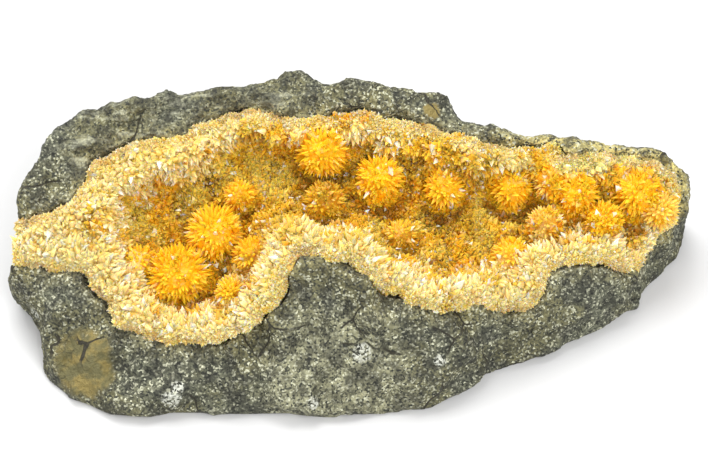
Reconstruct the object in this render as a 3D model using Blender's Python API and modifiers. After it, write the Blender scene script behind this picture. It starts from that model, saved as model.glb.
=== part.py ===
"""A crystal-lined vug in a loose piece of grey rock.

The rock lies on a flat underside, with its long side along X. A vug opens in its upper
front, and a crust of calcite lines it: short pointed crystals all over, and rosettes,
which are balls of longer crystals that grew on the crust. Rock and crust are the two
physical pieces. Units in the tables are millimetres; the model itself is in metres.
"""

import math

import bmesh
import bpy
import numpy as np
from mathutils import Matrix, Vector, noise

MM = 0.001

# The vug's own frame: U runs along the rock, V up the slope of the opening and W out of it.
VUG_LEAN_DEG = 40.0
VUG_ORIGIN = Vector((0.0, 0.0, 20.0))
FLOOR_SLOPE = 0.38
MOUTH_LENGTH = 16.0

# The rock's outline. Its sides reach below the resting plane, and are cut off there.
ROCK_FOOT_Z = 2.0
BASE_SKIRT = 2.5
BACK_WALL_Z = 13.0
BASE_INSET = 2.0
FRONT_BULGE = 1.2
TOP_BULGE = 3.0
SHOULDER_OUT = 3.2
SHOULDER_DOWN = 6.5
STATION_STEP = 3.0

# The rock's broken surface: long swells, flat flakes and the ledges of its bedding.
ROCK_VOXEL = 1.2
ROCK_FACES = 2300
SWELL_HEIGHT = 1.3
SWELL_LENGTH = 17.0
CHIP_COUNT = 260
CHIP_RADIUS = 20.0
CHIP_DEPTH = (0.25, 0.9)
CHIP_TILT = 0.12
BEDDING = Vector((0.22, 0.55, 0.8))
LEDGE_THICKNESS = 3.1
LEDGE_HEIGHT = 0.55
LEDGE_RAMP = 0.75
LEDGE_WANDER = 11.0

# The vug and the crust in it, which stands off the rock by the gap.
GAP = 0.3
VUG_SMOOTHINGS = 6
VUG_VOXEL = 1.1
VUG_FACES = 450
VUG_LUMP_HEIGHT = 1.1
VUG_LUMP_LENGTH = 7.0
BOWL_SEGMENTS = 40
CRUST_FACES = 7700
RIM_CELL = 4.0
LINING_CELL = 4.0
CELL_SHIFT = 0.25

# The crystals. Slenderness is a crystal's height over the width of its foot.
DRUSE_SLENDERNESS = 0.5
RIM_SLENDERNESS = 0.45
CRYSTAL_LEAN = 0.18
CRYSTAL_HEIGHTS = (0.75, 1.15)
ROSETTE_CRYSTALS = 42
ROSETTE_SLENDERNESS = 1.0
ROSETTE_SINK = 0.1

SEED = 9

# Where the front foot of the rock runs: X, Y.
FRONT_FOOT = [
    (-68.5, -2.0), (-65.0, -7.0), (-62.5, -21.5), (-56.5, -28.0), (-48.0, -32.0), (-18.5, -32.0),
    (-16.0, -30.5), (-8.0, -32.0), (11.0, -32.0), (16.0, -29.0), (33.0, -19.0), (49.0, -9.5),
    (56.0, -5.5), (63.5, 3.5), (66.5, 9.0), (69.0, 12.5),
]
# The upper edge of the front face: X, Y, Z.
FRONT_RIM = [
    (-68.5, -6.0, 15.5), (-63.0, -6.0, 18.0), (-52.0, -13.0, 17.0), (-45.0, -18.5, 16.0),
    (-32.0, -25.0, 15.0), (-24.0, -24.0, 17.0), (-17.0, -20.0, 21.0), (-9.0, -13.5, 27.0),
    (-2.0, -13.5, 28.0), (4.0, -17.0, 25.0), (9.0, -18.5, 22.0), (17.0, -19.5, 20.0),
    (29.0, -16.5, 17.0), (37.0, -14.5, 12.0), (39.0, -12.5, 13.5), (44.0, -7.5, 16.5),
    (49.0, -6.0, 15.0), (55.0, -4.0, 8.0), (62.0, 1.0, 6.0), (66.5, 9.5, 8.5), (69.0, 13.0, 11.0),
]
# The inner edge of the slab behind the vug: X, Y, Z.
BACK_RIM = [
    (-68.5, -4.0, 17.0), (-66.0, 4.0, 23.0), (-59.0, 6.0, 25.0), (-50.0, 14.0, 28.5),
    (-45.0, 17.5, 29.0), (-36.0, 17.0, 30.0), (-26.0, 22.0, 31.0), (-15.0, 23.0, 32.0),
    (-3.0, 21.0, 32.0), (9.0, 21.0, 31.0), (20.0, 19.5, 29.0), (29.0, 19.5, 27.5),
    (41.0, 20.0, 26.5), (51.0, 18.5, 25.0), (57.0, 18.5, 24.0), (65.0, 17.5, 21.5),
    (69.0, 18.0, 16.5),
]
# The highest line of the rock, which steps down where the slab has broken off: X, Y, Z.
BACK_CREST = [
    (-68.5, -3.5, 18.0), (-67.0, 6.0, 25.0), (-65.5, 12.0, 29.0), (-62.5, 18.5, 31.5),
    (-54.5, 25.0, 33.5), (-39.0, 27.5, 34.5), (-22.0, 28.5, 35.5), (-13.0, 30.5, 37.0),
    (-6.0, 29.0, 36.0), (9.0, 28.5, 35.5), (19.0, 29.0, 34.0), (20.0, 28.0, 32.5),
    (20.6, 22.5, 28.5), (41.0, 22.5, 27.0), (51.0, 20.5, 26.0), (57.0, 21.5, 25.0),
    (65.0, 20.0, 23.0), (69.0, 19.5, 18.0),
]
# The back of the rock half way up: X, Y.
BACK_WALL = [
    (-68.5, -1.0), (-66.5, 11.0), (-61.0, 22.0), (-51.0, 28.5), (-35.0, 32.0), (-5.0, 34.5),
    (10.0, 34.0), (19.7, 32.5), (20.8, 26.5), (35.0, 27.0), (48.0, 25.5), (58.0, 25.0),
    (65.0, 22.5), (69.0, 21.0),
]

# The vug is a row of bowls that run together: U, V, their radii, the W of the bowl's
# brim, its depth and the thickness of the crust in it. A thickness of 0 leaves the bowl full.
BOWLS = [
    (-33.0, -3.0, 21.5, 19.5, 2.5, 13.5, 5.0),
    (-59.0, -1.0, 15.0, 6.5, -1.0, 5.0, 0.0),
    (-38.0, 7.0, 18.0, 13.0, -2.0, 11.0, 6.0),
    (-20.0, 12.0, 19.0, 14.0, -3.0, 12.0, 5.0),
    (-1.0, 10.0, 19.5, 15.5, -1.0, 12.0, 4.5),
    (11.0, 12.0, 12.0, 11.5, -2.0, 11.0, 4.5),
    (18.0, 3.0, 21.0, 18.0, 2.0, 14.5, 5.0),
    (35.0, -11.0, 4.5, 6.0, 3.0, 4.0, 0.0),
    (30.0, -1.0, 10.0, 15.5, 0.0, 10.0, 5.0),
    (35.0, 7.0, 18.0, 12.0, -5.0, 9.5, 4.0),
    (49.0, 5.0, 20.0, 12.0, -5.0, 8.5, 4.5),
    (61.0, -1.5, 10.0, 9.5, -8.5, 4.5, 4.0),
    (60.0, 7.0, 13.0, 9.5, -9.0, 5.5, 3.5),
]

# The rosettes on the crust: U, V and the radius to the crystals' tips.
ROSETTES = [
    (-6.5, 17.0, 6.2), (5.0, 11.5, 5.6), (18.0, 9.5, 4.8), (31.5, 10.0, 5.2), (40.0, 11.0, 4.8),
    (-28.0, 0.5, 6.6), (-35.0, -8.0, 7.2), (-20.5, -4.0, 4.6), (-23.0, 8.0, 3.8),
    (-6.0, 7.0, 4.8), (31.5, -4.0, 4.6), (38.5, 2.0, 4.8), (45.0, 8.5, 5.2), (50.0, 3.0, 4.8),
    (57.5, 8.5, 6.0), (9.5, 0.0, 4.0), (-42.8, -5.3, 4.2), (-24.4, -11.3, 3.6),
    (61.6, 5.0, 4.6),
]


def clear_scene():
    """Empties the scene that Blender starts with."""
    for obj in list(bpy.data.objects):
        bpy.data.objects.remove(obj)


def make_collection(name):
    """A new collection in the scene."""
    collection = bpy.data.collections.new(name)
    bpy.context.scene.collection.children.link(collection)
    return collection


def make_material(name, colour, roughness):
    """A plain non-metallic surface."""
    material = bpy.data.materials.new(name)
    material.use_nodes = True
    shader = material.node_tree.nodes["Principled BSDF"]
    shader.inputs["Base Color"].default_value = (*colour, 1.0)
    shader.inputs["Roughness"].default_value = roughness
    shader.inputs["Metallic"].default_value = 0.0
    material.diffuse_color = (*colour, 1.0)
    return material


def add_object(name, mesh, collection):
    """A new object in a collection."""
    obj = bpy.data.objects.new(name, mesh)
    collection.objects.link(obj)
    return obj


def mesh_from(bm, name):
    """A bmesh written to a new mesh, in metres."""
    bmesh.ops.scale(bm, vec=(MM, MM, MM), verts=bm.verts)
    mesh = bpy.data.meshes.new(name)
    bm.to_mesh(mesh)
    bm.free()
    return mesh


def settle(obj):
    """Replaces an object's mesh by its evaluated one and drops its modifiers."""
    graph = bpy.context.evaluated_depsgraph_get()
    mesh = bpy.data.meshes.new_from_object(obj.evaluated_get(graph))
    obj.modifiers.clear()
    obj.data = mesh


def add_remesh(obj, voxel):
    """Joins overlapping shapes into one even skin."""
    remesh = obj.modifiers.new("remesh", "REMESH")
    remesh.mode = "VOXEL"
    remesh.voxel_size = voxel * MM


def add_decimate(obj, faces):
    """Brings a settled mesh down to about this many triangles."""
    decimate = obj.modifiers.new("decimate", "DECIMATE")
    triangles = sum(len(face.vertices) - 2 for face in obj.data.polygons)
    decimate.ratio = min(1.0, faces / triangles)


def add_boolean(obj, other, operation, solver="EXACT"):
    """Cuts, keeps or joins. MANIFOLD is for crossing crystals, where EXACT loses the body."""
    boolean = obj.modifiers.new(operation.lower(), "BOOLEAN")
    boolean.operation = operation
    boolean.solver = solver
    boolean.object = other


def guide(points, x):
    """A guide line's remaining coordinates at X."""
    table = np.array(points)
    return [float(np.interp(x, table[:, 0], column)) for column in table[:, 1:].T]


def bulged(first, second, out):
    """The point half way between two, moved out square to the line that joins them."""
    along = Vector(second) - Vector(first)
    outward = Vector((-along.y, along.x)).normalized()
    return (Vector(first) + Vector(second)) / 2 + outward * out


def rock_section(x):
    """The rock's outline at X, as (Y, Z) pairs from the base's front edge round to its back edge."""
    (foot_y,) = guide(FRONT_FOOT, x)
    rim_y, rim_z = guide(FRONT_RIM, x)
    slab_y, slab_z = guide(BACK_RIM, x)
    crest_y, crest_z = guide(BACK_CREST, x)
    (wall_y,) = guide(BACK_WALL, x)
    front_y, front_z = bulged((foot_y, ROCK_FOOT_Z), (rim_y, rim_z), FRONT_BULGE)
    top_y, top_z = bulged((rim_y, rim_z), (slab_y, slab_z), TOP_BULGE)
    shoulder_y = min(crest_y + SHOULDER_OUT, (crest_y + wall_y) / 2)
    shoulder_z = max(crest_z - SHOULDER_DOWN, BACK_WALL_Z + 1)
    wall_z = min(BACK_WALL_Z, (shoulder_z + ROCK_FOOT_Z) / 2)
    return [
        (foot_y + BASE_INSET, -BASE_SKIRT),
        (foot_y, ROCK_FOOT_Z),
        (front_y, front_z),
        (rim_y, rim_z),
        (top_y, top_z),
        (slab_y, slab_z),
        (crest_y, crest_z),
        (shoulder_y, shoulder_z),
        (wall_y, wall_z),
        (max(wall_y - BASE_INSET / 2, foot_y + 2 * BASE_INSET), ROCK_FOOT_Z),
        (max(wall_y - 2 * BASE_INSET, foot_y + 1.5 * BASE_INSET), -BASE_SKIRT),
    ]


def stations():
    """Where the rock's sections stand along X: evenly, and at every bend of the guides."""
    bends = {point[0] for line in (FRONT_FOOT, FRONT_RIM, BACK_CREST, BACK_WALL) for point in line}
    first, last = min(bends), max(bends)
    even = np.arange(first, last, STATION_STEP)
    return sorted(bends | {float(x) for x in even})


def loft_rock(collection):
    """The whole rock with no vug, lofted through its sections."""
    bm = bmesh.new()
    rings = [[bm.verts.new((x, y, z)) for y, z in rock_section(x)] for x in stations()]
    for ring, following in zip(rings, rings[1:]):
        count = len(ring)
        for i in range(count):
            j = (i + 1) % count
            bm.faces.new((ring[i], ring[j], following[j], following[i]))
    bm.faces.new(rings[0])
    bm.faces.new(rings[-1])
    bmesh.ops.recalc_face_normals(bm, faces=bm.faces)
    return add_object("rock_blank", mesh_from(bm, "rock_blank"), collection)


def chip(points, normals, rng):
    """Breaks flat flakes off: what stands a little above a tilted plane is laid onto it."""
    for _ in range(CHIP_COUNT):
        start = rng.integers(len(points))
        tilt = normals[start] + rng.normal(0.0, CHIP_TILT, 3)
        tilt /= np.linalg.norm(tilt)
        depth = rng.uniform(*CHIP_DEPTH)
        away = points - (points[start] - tilt * depth)
        height = away @ tilt
        near = np.linalg.norm(away, axis=1) < CHIP_RADIUS
        facing = normals @ tilt > 0.5
        broken = near & facing & (height > 0) & (height < 2 * depth)
        points[broken] -= np.outer(height[broken], tilt)
    return points


def ledge(point):
    """How far the bedding stands out: each bed rises slowly to a lip and drops from it."""
    level = BEDDING.dot(point) / LEDGE_THICKNESS + 0.7 * noise.noise(point / LEDGE_WANDER)
    part = level - math.floor(level)
    return LEDGE_HEIGHT * min(part / LEDGE_RAMP, (1 - part) / (1 - LEDGE_RAMP))


def roughen_rock(obj, rng):
    """Gives the blank its swells, ledges and flakes."""
    mesh = obj.data
    count = len(mesh.vertices)
    points = np.empty(count * 3)
    normals = np.empty(count * 3)
    mesh.vertices.foreach_get("co", points)
    mesh.vertex_normals.foreach_get("vector", normals)
    points = points.reshape(-1, 3) / MM
    normals = normals.reshape(-1, 3)
    for i, point in enumerate(points):
        place = Vector(point)
        swell = SWELL_HEIGHT * noise.fractal(place / SWELL_LENGTH, 0.9, 2.1, 4)
        points[i] += normals[i] * (swell + ledge(place) - LEDGE_HEIGHT / 2)
    points = chip(points, normals, rng)
    mesh.vertices.foreach_set("co", (points * MM).ravel())
    mesh.update()


def cut_base(obj):
    """Cuts the rock off flat at Z = 0, where it rests."""
    bm = bmesh.new()
    bm.from_mesh(obj.data)
    whole = bm.verts[:] + bm.edges[:] + bm.faces[:]
    down = (0, 0, -1)
    cut = bmesh.ops.bisect_plane(bm, geom=whole, plane_co=(0, 0, 0), plane_no=down, clear_outer=True)
    rim = [item for item in cut["geom_cut"] if isinstance(item, bmesh.types.BMEdge)]
    bmesh.ops.contextual_create(bm, geom=rim)
    bmesh.ops.recalc_face_normals(bm, faces=bm.faces)
    bm.to_mesh(obj.data)
    bm.free()


def make_blank(collection, rng):
    """The broken outside of the specimen, before its base is cut."""
    blank = loft_rock(collection)
    add_remesh(blank, ROCK_VOXEL)
    settle(blank)
    roughen_rock(blank, rng)
    add_remesh(blank, ROCK_VOXEL)
    settle(blank)
    return blank


def thinned(obj, name, faces):
    """A copy of a shape with about this many triangles."""
    copy = add_object(name, obj.data.copy(), obj.users_collection[0])
    add_decimate(copy, faces)
    settle(copy)
    return copy


def vug_matrix():
    """Takes U, V, W to the model's X, Y, Z."""
    return Matrix.Translation(VUG_ORIGIN) @ Matrix.Rotation(math.radians(VUG_LEAN_DEG), 4, "X")


def bowl_surface(bowl, inset, u, v):
    """The W of a bowl's floor below (U, V), or None outside the bowl."""
    centre_u, centre_v, radius_u, radius_v, brim, depth, _ = bowl
    across = math.hypot((u - centre_u) / (radius_u - inset), (v - centre_v) / (radius_v - inset))
    if across >= 1:
        return None
    return brim - FLOOR_SLOPE * (v - centre_v) - (depth - inset) * math.sqrt(1 - across**2)


def lining_surface(u, v):
    """The W of the crust's face below (U, V)."""
    levels = [bowl_surface(bowl, bowl[6], u, v) for bowl in BOWLS if bowl[6]]
    return min(level for level in levels if level is not None)


def add_bowl(bm, bowl, inset):
    """One bowl: half an ellipsoid below its brim, and straight walls up to its mouth."""
    centre_u, centre_v, radius_u, radius_v, brim, depth, _ = bowl
    ball = bmesh.ops.create_uvsphere(
        bm, u_segments=BOWL_SEGMENTS, v_segments=BOWL_SEGMENTS // 2, radius=1.0
    )
    for vert in ball["verts"]:
        x, y, z = vert.co
        if z > 1e-4 and math.hypot(x, y) > 1e-4:
            x, y = Vector((x, y)).normalized()
        u = centre_u + x * (radius_u - inset)
        v = centre_v + y * (radius_v - inset)
        reach = MOUTH_LENGTH if z > 0 else depth - inset
        vert.co = (u, v, brim - FLOOR_SLOPE * (v - centre_v) + z * reach)


def make_vug(name, collection, lined):
    """The vug as a solid: out to the rock, or in to the face of the crust where lined."""
    bm = bmesh.new()
    for bowl in BOWLS:
        thickness = bowl[6]
        if not lined:
            add_bowl(bm, bowl, 0.0)
        elif thickness:
            add_bowl(bm, bowl, thickness)
    bmesh.ops.transform(bm, matrix=vug_matrix(), verts=bm.verts)
    vug = add_object(name, mesh_from(bm, name), collection)
    add_remesh(vug, VUG_VOXEL)
    settle(vug)
    swell_vug(vug)
    return vug


def swell_vug(vug):
    """Makes the smooth bowls lumpy, so that the crust's edge wanders."""
    bm = bmesh.new()
    bm.from_mesh(vug.data)
    axes = {"use_axis_x": True, "use_axis_y": True, "use_axis_z": True}
    for _ in range(VUG_SMOOTHINGS):
        bmesh.ops.smooth_vert(bm, verts=bm.verts, factor=0.5, **axes)
    bm.normal_update()
    for vert in bm.verts:
        lump = noise.fractal(vert.co / MM / VUG_LUMP_LENGTH, 0.8, 2.0, 3)
        vert.co += vert.normal * VUG_LUMP_HEIGHT * MM * lump
    bm.to_mesh(vug.data)
    bm.free()


def shrink(obj, distance):
    """A copy of a shape with its faces moved in by a distance."""
    bm = bmesh.new()
    bm.from_mesh(obj.data)
    bm.normal_update()
    for vert in bm.verts:
        vert.co -= vert.normal * vert.calc_shell_factor() * distance * MM
    mesh = bpy.data.meshes.new(obj.name + "_shrunk")
    bm.to_mesh(mesh)
    bm.free()
    return add_object(obj.name + "_shrunk", mesh, obj.users_collection[0])


def rosette_centre(place):
    """Where a rosette's middle stands in the model, in metres."""
    u, v, radius = place
    height = lining_surface(u, v) + rosette_core(radius) * (1 - ROSETTE_SINK)
    return vug_matrix() @ Vector((u, v, height)) * MM


def rosette_core(radius):
    """The radius of a rosette's core, under crystals that reach the rosette's own radius."""
    return radius / (1 + ROSETTE_SLENDERNESS * math.sqrt(4 * math.pi / ROSETTE_CRYSTALS))


def under_rosette(point):
    """True where a rosette hides the crust."""
    return any((point - rosette_centre(place)).length < place[2] * MM for place in ROSETTES)


def grow_crystals(obj, faces_to_grow, slenderness, rng, inward=False):
    """Draws faces out to a point, each as one flat-sided crystal."""
    bm = bmesh.new()
    bm.from_mesh(obj.data)
    width = math.sqrt(sum(face.calc_area() for face in bm.faces) / len(bm.faces))
    chosen = [face for face in bm.faces if faces_to_grow(face.calc_center_median())]
    grown = bmesh.ops.poke(bm, faces=chosen, center_mode="MEAN")
    bm.normal_update()
    for tip in grown["verts"]:
        outward = -tip.normal if inward else tip.normal
        lean = Vector(rng.normal(0.0, CRYSTAL_LEAN, 3))
        height = slenderness * width * rng.uniform(*CRYSTAL_HEIGHTS)
        tip.co += (outward + lean).normalized() * height
    bm.to_mesh(obj.data)
    bm.free()


def make_druse(obj, cell, slenderness, rng, inward=False):
    """Parts a shape's surface into uneven cells, and grows a crystal on each that shows."""
    add_remesh(obj, cell)
    settle(obj)
    shift = rng.uniform(-CELL_SHIFT, CELL_SHIFT, (len(obj.data.vertices), 3)) * cell * MM
    for vert, offset in zip(obj.data.vertices, shift):
        vert.co += Vector(offset)
    grow_crystals(obj, lambda place: not under_rosette(place), slenderness, rng, inward)


def to_cells(obj):
    """Turns a triangle mesh into its dual, whose faces are mostly six-sided, like calcite crystals."""
    group = bpy.data.node_groups.new("cells", "GeometryNodeTree")
    group.interface.new_socket("Geometry", in_out="INPUT", socket_type="NodeSocketGeometry")
    group.interface.new_socket("Geometry", in_out="OUTPUT", socket_type="NodeSocketGeometry")
    entry = group.nodes.new("NodeGroupInput")
    dual = group.nodes.new("GeometryNodeDualMesh")
    result = group.nodes.new("NodeGroupOutput")
    group.links.new(entry.outputs[0], dual.inputs["Mesh"])
    group.links.new(dual.outputs[0], result.inputs[0])
    obj.modifiers.new("cells", "NODES").node_group = group
    settle(obj)


def make_rosette(place, collection, rng):
    """A ball of crystals: an icosphere's cells drawn out to points."""
    turn = Matrix.Rotation(rng.uniform(0, math.tau), 4, Vector(rng.normal(0.0, 1.0, 3)))
    stand = Matrix.Translation(rosette_centre(place)) @ turn
    radius = rosette_core(place[2]) * MM
    bm = bmesh.new()
    bmesh.ops.create_icosphere(bm, subdivisions=2, radius=radius, matrix=stand)
    mesh = bpy.data.meshes.new("rosette")
    bm.to_mesh(mesh)
    bm.free()
    rosette = add_object("rosette", mesh, collection)
    to_cells(rosette)
    grow_crystals(rosette, lambda face: True, ROSETTE_SLENDERNESS, rng)
    return rosette


def bodies_of(bm):
    """The closed bodies of a mesh, each as the list of its faces, the biggest one last."""
    unseen = set(bm.faces)
    bodies = []
    while unseen:
        body = [unseen.pop()]
        for face in body:
            plain_edges = [edge for edge in face.edges if len(edge.link_faces) == 2]
            beside = {other for edge in plain_edges for other in edge.link_faces}
            for neighbour in beside & unseen:
                unseen.discard(neighbour)
                body.append(neighbour)
        bodies.append(body)
    return sorted(bodies, key=len)


def keep_biggest(obj):
    """Removes the closed bubbles and crumbs that the Booleans leave beside the main body."""
    bm = bmesh.new()
    bm.from_mesh(obj.data)
    bmesh.ops.triangulate(bm, faces=bm.faces)
    for body in bodies_of(bm)[:-1]:
        bmesh.ops.delete(bm, geom=body, context="FACES")
    loose = [edge for edge in bm.edges if not edge.link_faces]
    bmesh.ops.delete(bm, geom=loose, context="EDGES")
    bm.to_mesh(obj.data)
    bm.free()


def centre(objects):
    """Moves the specimen so that the middle of its box stands at X = Y = 0."""
    corners = np.array([vert.co for obj in objects for vert in obj.data.vertices])
    middle = (corners.min(axis=0) + corners.max(axis=0)) / 2
    for obj in objects:
        obj.data.transform(Matrix.Translation((-middle[0], -middle[1], 0.0)))


def as_helper(collection):
    """Marks the shapes that only cut or join others."""
    collection.hide_render = True
    for obj in collection.objects:
        obj.hide_render = True
        obj.display_type = "WIRE"


def build():
    """Builds the rock and the crust that lines its vug."""
    clear_scene()
    specimen = make_collection("calcite_cluster")
    helpers = make_collection("helpers")
    rng = np.random.default_rng(SEED)

    blank = make_blank(helpers, rng)
    rim_druse = add_object("rim_druse", blank.data.copy(), helpers)
    make_druse(rim_druse, RIM_CELL, RIM_SLENDERNESS, rng)
    vug = thinned(make_vug("vug_space", helpers, lined=False), "vug", VUG_FACES)
    crust_limit = shrink(vug, GAP)
    rosette_limit = shrink(vug, 2 * GAP)
    lining = make_vug("lining_space", helpers, lined=True)
    make_druse(lining, LINING_CELL, DRUSE_SLENDERNESS, rng, inward=True)
    rosettes = [make_rosette(place, helpers, rng) for place in ROSETTES]

    rock_skin = thinned(blank, "rock_skin", ROCK_FACES)
    cut_base(rock_skin)
    rock = add_object("matrix_rock", rock_skin.data.copy(), specimen)
    rock.data.materials.append(make_material("grey_rock", (0.13, 0.13, 0.115), 0.85))
    add_boolean(rock, vug, "DIFFERENCE")
    settle(rock)
    keep_biggest(rock)

    crust = add_object("calcite_crust", rim_druse.data.copy(), specimen)
    crust.data.materials.append(make_material("golden_calcite", (0.86, 0.52, 0.10), 0.3))
    add_boolean(crust, crust_limit, "INTERSECT", solver="MANIFOLD")
    add_boolean(crust, lining, "DIFFERENCE", solver="MANIFOLD")
    for rosette in rosettes:
        add_boolean(rosette, rosette_limit, "INTERSECT")
        add_boolean(crust, rosette, "UNION", solver="MANIFOLD")
    settle(crust)
    keep_biggest(crust)
    add_decimate(crust, CRUST_FACES)
    settle(crust)
    keep_biggest(crust)
    centre([rock, crust])
    as_helper(helpers)


build()
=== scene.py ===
# %% [markdown]
# # A calcite cluster
#
# A loose piece of grey rock holds a shallow hollow, called a vug. Calcite lines it as a
# crust of small pointed crystals, and in places the crystals stand out from one point in
# all directions and make a ball, called a rosette. The solids of the rock and the crust
# come ready made. This lesson gives both their fine surface, their colours and their light.

# %% Load the solids
import math

import bpy
import numpy as np
from mathutils import Matrix, Vector, noise
from mathutils.bvhtree import BVHTree
from mathutils.kdtree import KDTree


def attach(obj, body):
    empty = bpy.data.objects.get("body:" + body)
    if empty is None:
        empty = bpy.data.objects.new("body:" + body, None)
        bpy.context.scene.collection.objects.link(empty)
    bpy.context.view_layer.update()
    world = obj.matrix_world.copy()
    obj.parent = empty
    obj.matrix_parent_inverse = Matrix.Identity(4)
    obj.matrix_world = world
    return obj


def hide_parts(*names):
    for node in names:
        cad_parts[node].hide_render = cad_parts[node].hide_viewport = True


MM = 0.001
SEED = 4

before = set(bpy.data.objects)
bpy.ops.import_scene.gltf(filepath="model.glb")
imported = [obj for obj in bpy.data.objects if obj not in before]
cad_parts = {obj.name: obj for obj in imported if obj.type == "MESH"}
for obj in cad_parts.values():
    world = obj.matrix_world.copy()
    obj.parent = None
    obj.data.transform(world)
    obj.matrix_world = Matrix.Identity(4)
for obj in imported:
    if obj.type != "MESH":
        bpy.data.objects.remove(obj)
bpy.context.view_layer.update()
rng = np.random.default_rng(SEED)
print("solids:", sorted(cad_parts))

# %% [markdown]
# ## The camera
#
# The photo was taken from the front and well above, with a long lens, so that near and far
# ends look almost equally large. One pixel covers about 0.2 mm. A camera 590 mm away with a
# 150 mm lens on a 36 mm sensor gives the same scale and hardly any perspective.

# %% Camera
PHOTO_WIDTH_PX = 708
LENS_MM = 150.0
SENSOR_MM = 36.0
MM_A_PIXEL = 0.2
ELEVATION_DEG = 50.0
CLIP_START_M = 0.01
AIM = Vector((0.13, 0.72, 18.2)) * MM


def make_camera():
    """A camera that looks along +Y and down at the specimen, and its distance."""
    away = MM_A_PIXEL * PHOTO_WIDTH_PX * LENS_MM / SENSOR_MM * MM
    tilt = math.radians(ELEVATION_DEG)
    data = bpy.data.cameras.new("photo_camera")
    data.lens = LENS_MM
    data.sensor_width = SENSOR_MM
    data.clip_start = CLIP_START_M
    camera = bpy.data.objects.new("photo_camera", data)
    bpy.context.scene.collection.objects.link(camera)
    camera.location = AIM + Vector((0.0, -math.cos(tilt), math.sin(tilt))) * away
    camera.rotation_euler = (math.pi / 2 - tilt, 0.0, 0.0)
    bpy.context.scene.camera = camera
    return away


print("camera distance:", round(make_camera(), 3), "m")

# %% [markdown]
# ## Helpers for every piece
#
# A solid's mesh comes as loose triangles. A copy of it is merged first, and then it can be
# remeshed and displaced like any model. Modifiers are applied at once, so that what the
# next cell measures is the shape that is seen.

# %% Copies and modifiers
SAME_POINT_M = 1e-7


def select_only(obj):
    """Makes one object the only selected and the active one."""
    bpy.ops.object.select_all(action="DESELECT")
    obj.select_set(True)
    bpy.context.view_layer.objects.active = obj


def merged_copy(node, name):
    """A new object with a solid's shape, its loose triangles joined."""
    obj = bpy.data.objects.new(name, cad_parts[node].data.copy())
    bpy.context.scene.collection.objects.link(obj)
    obj.data.materials.clear()
    select_only(obj)
    bpy.ops.object.mode_set(mode="EDIT")
    bpy.ops.mesh.select_all(action="SELECT")
    bpy.ops.mesh.remove_doubles(threshold=SAME_POINT_M)
    bpy.ops.object.mode_set(mode="OBJECT")
    return obj


def finish_with(obj, kind, **settings):
    """Adds a modifier with these settings and applies it."""
    select_only(obj)
    modifier = obj.modifiers.new(kind.lower(), kind)
    for key, value in settings.items():
        setattr(modifier, key, value)
    bpy.ops.object.modifier_apply(modifier=modifier.name)


def vertex_points(obj):
    """The object's vertices as an array of points."""
    points = np.empty(len(obj.data.vertices) * 3)
    obj.data.vertices.foreach_get("co", points)
    return points.reshape(-1, 3)


def vertex_normals(obj):
    """The object's vertex normals as an array."""
    normals = np.empty(len(obj.data.vertices) * 3)
    obj.data.vertex_normals.foreach_get("vector", normals)
    return normals.reshape(-1, 3)


def weight_vertices(obj, name, weights):
    """A vertex group with one weight, 0 to 1, for each vertex."""
    group = obj.vertex_groups.new(name=name)
    for index, weight in enumerate(np.clip(weights, 0.0, 1.0)):
        group.add([index], float(weight), "REPLACE")


def step(values, low, high):
    """0 below low, 1 above high and smooth between."""
    t = np.clip((values - low) / (high - low), 0.0, 1.0)
    return t * t * (3 - 2 * t)


def roughen(obj, kind, size_mm, height_mm, group="", middle=0.5, **settings):
    """Moves the surface by a noise of this grain size: outwards where it is above middle."""
    texture = bpy.data.textures.new(f"{obj.name}_{kind.lower()}", kind)
    texture.noise_scale = size_mm * MM
    for key, value in settings.items():
        setattr(texture, key, value)
    finish_with(
        obj, "DISPLACE", texture=texture, texture_coords="LOCAL", mid_level=middle,
        strength=height_mm * MM, vertex_group=group,
    )


# %% [markdown]
# ## The rock's surface
#
# Stone breaks along small flat facets. A coarse skin is pushed in and out by noises of a few
# millimetres, and then most of its points are taken away, which leaves flat facets with
# sharp edges between them. A second, finer skin over those facets takes the grains. A
# vertex group keeps the underside flat, where the specimen rests.

# %% Rock shape
COARSE_VOXEL_MM = 1.0
FACET_SHARE = 0.075
ROCK_VOXEL_MM = 0.56
FLAT_BELOW_MM = 0.5
ROUGH_ABOVE_MM = 2.0


def remesh(obj, voxel_mm):
    """An even skin of small squares, and a group of the points above the flat underside."""
    finish_with(obj, "REMESH", mode="VOXEL", voxel_size=voxel_mm * MM)
    height_mm = vertex_points(obj)[:, 2] / MM
    weight_vertices(obj, "above_base", step(height_mm, FLAT_BELOW_MM, ROUGH_ABOVE_MM))


rock = merged_copy("matrix_rock", "grey_rock")
remesh(rock, COARSE_VOXEL_MM)
roughen(rock, "MUSGRAVE", 8.0, 0.9, "above_base", musgrave_type="RIDGED_MULTIFRACTAL")
roughen(rock, "VORONOI", 6.5, 1.3, "above_base", middle=0.65, distance_metric="MANHATTAN")
roughen(rock, "CLOUDS", 2.6, 1.1, "above_base", noise_depth=1)
finish_with(rock, "DECIMATE", ratio=FACET_SHARE)
rock.vertex_groups.clear()
remesh(rock, ROCK_VOXEL_MM)
roughen(rock, "CLOUDS", 1.4, 0.55, "above_base", noise_depth=2)
roughen(rock, "CLOUDS", 0.7, 0.35, "above_base", noise_depth=1)
print("rock faces:", len(rock.data.polygons))

# %% [markdown]
# ## The crust under the crystals
#
# The solid crust has few and large crystals. A copy of it, remeshed and smoothed, keeps
# its lumps and its rosettes' bodies, and becomes the ground that the small crystals grow
# on. Round cells of noise make it knobbly, as a crust is that grew from many points.

# %% Crust shape
CRUST_VOXEL_MM = 0.6

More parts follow.
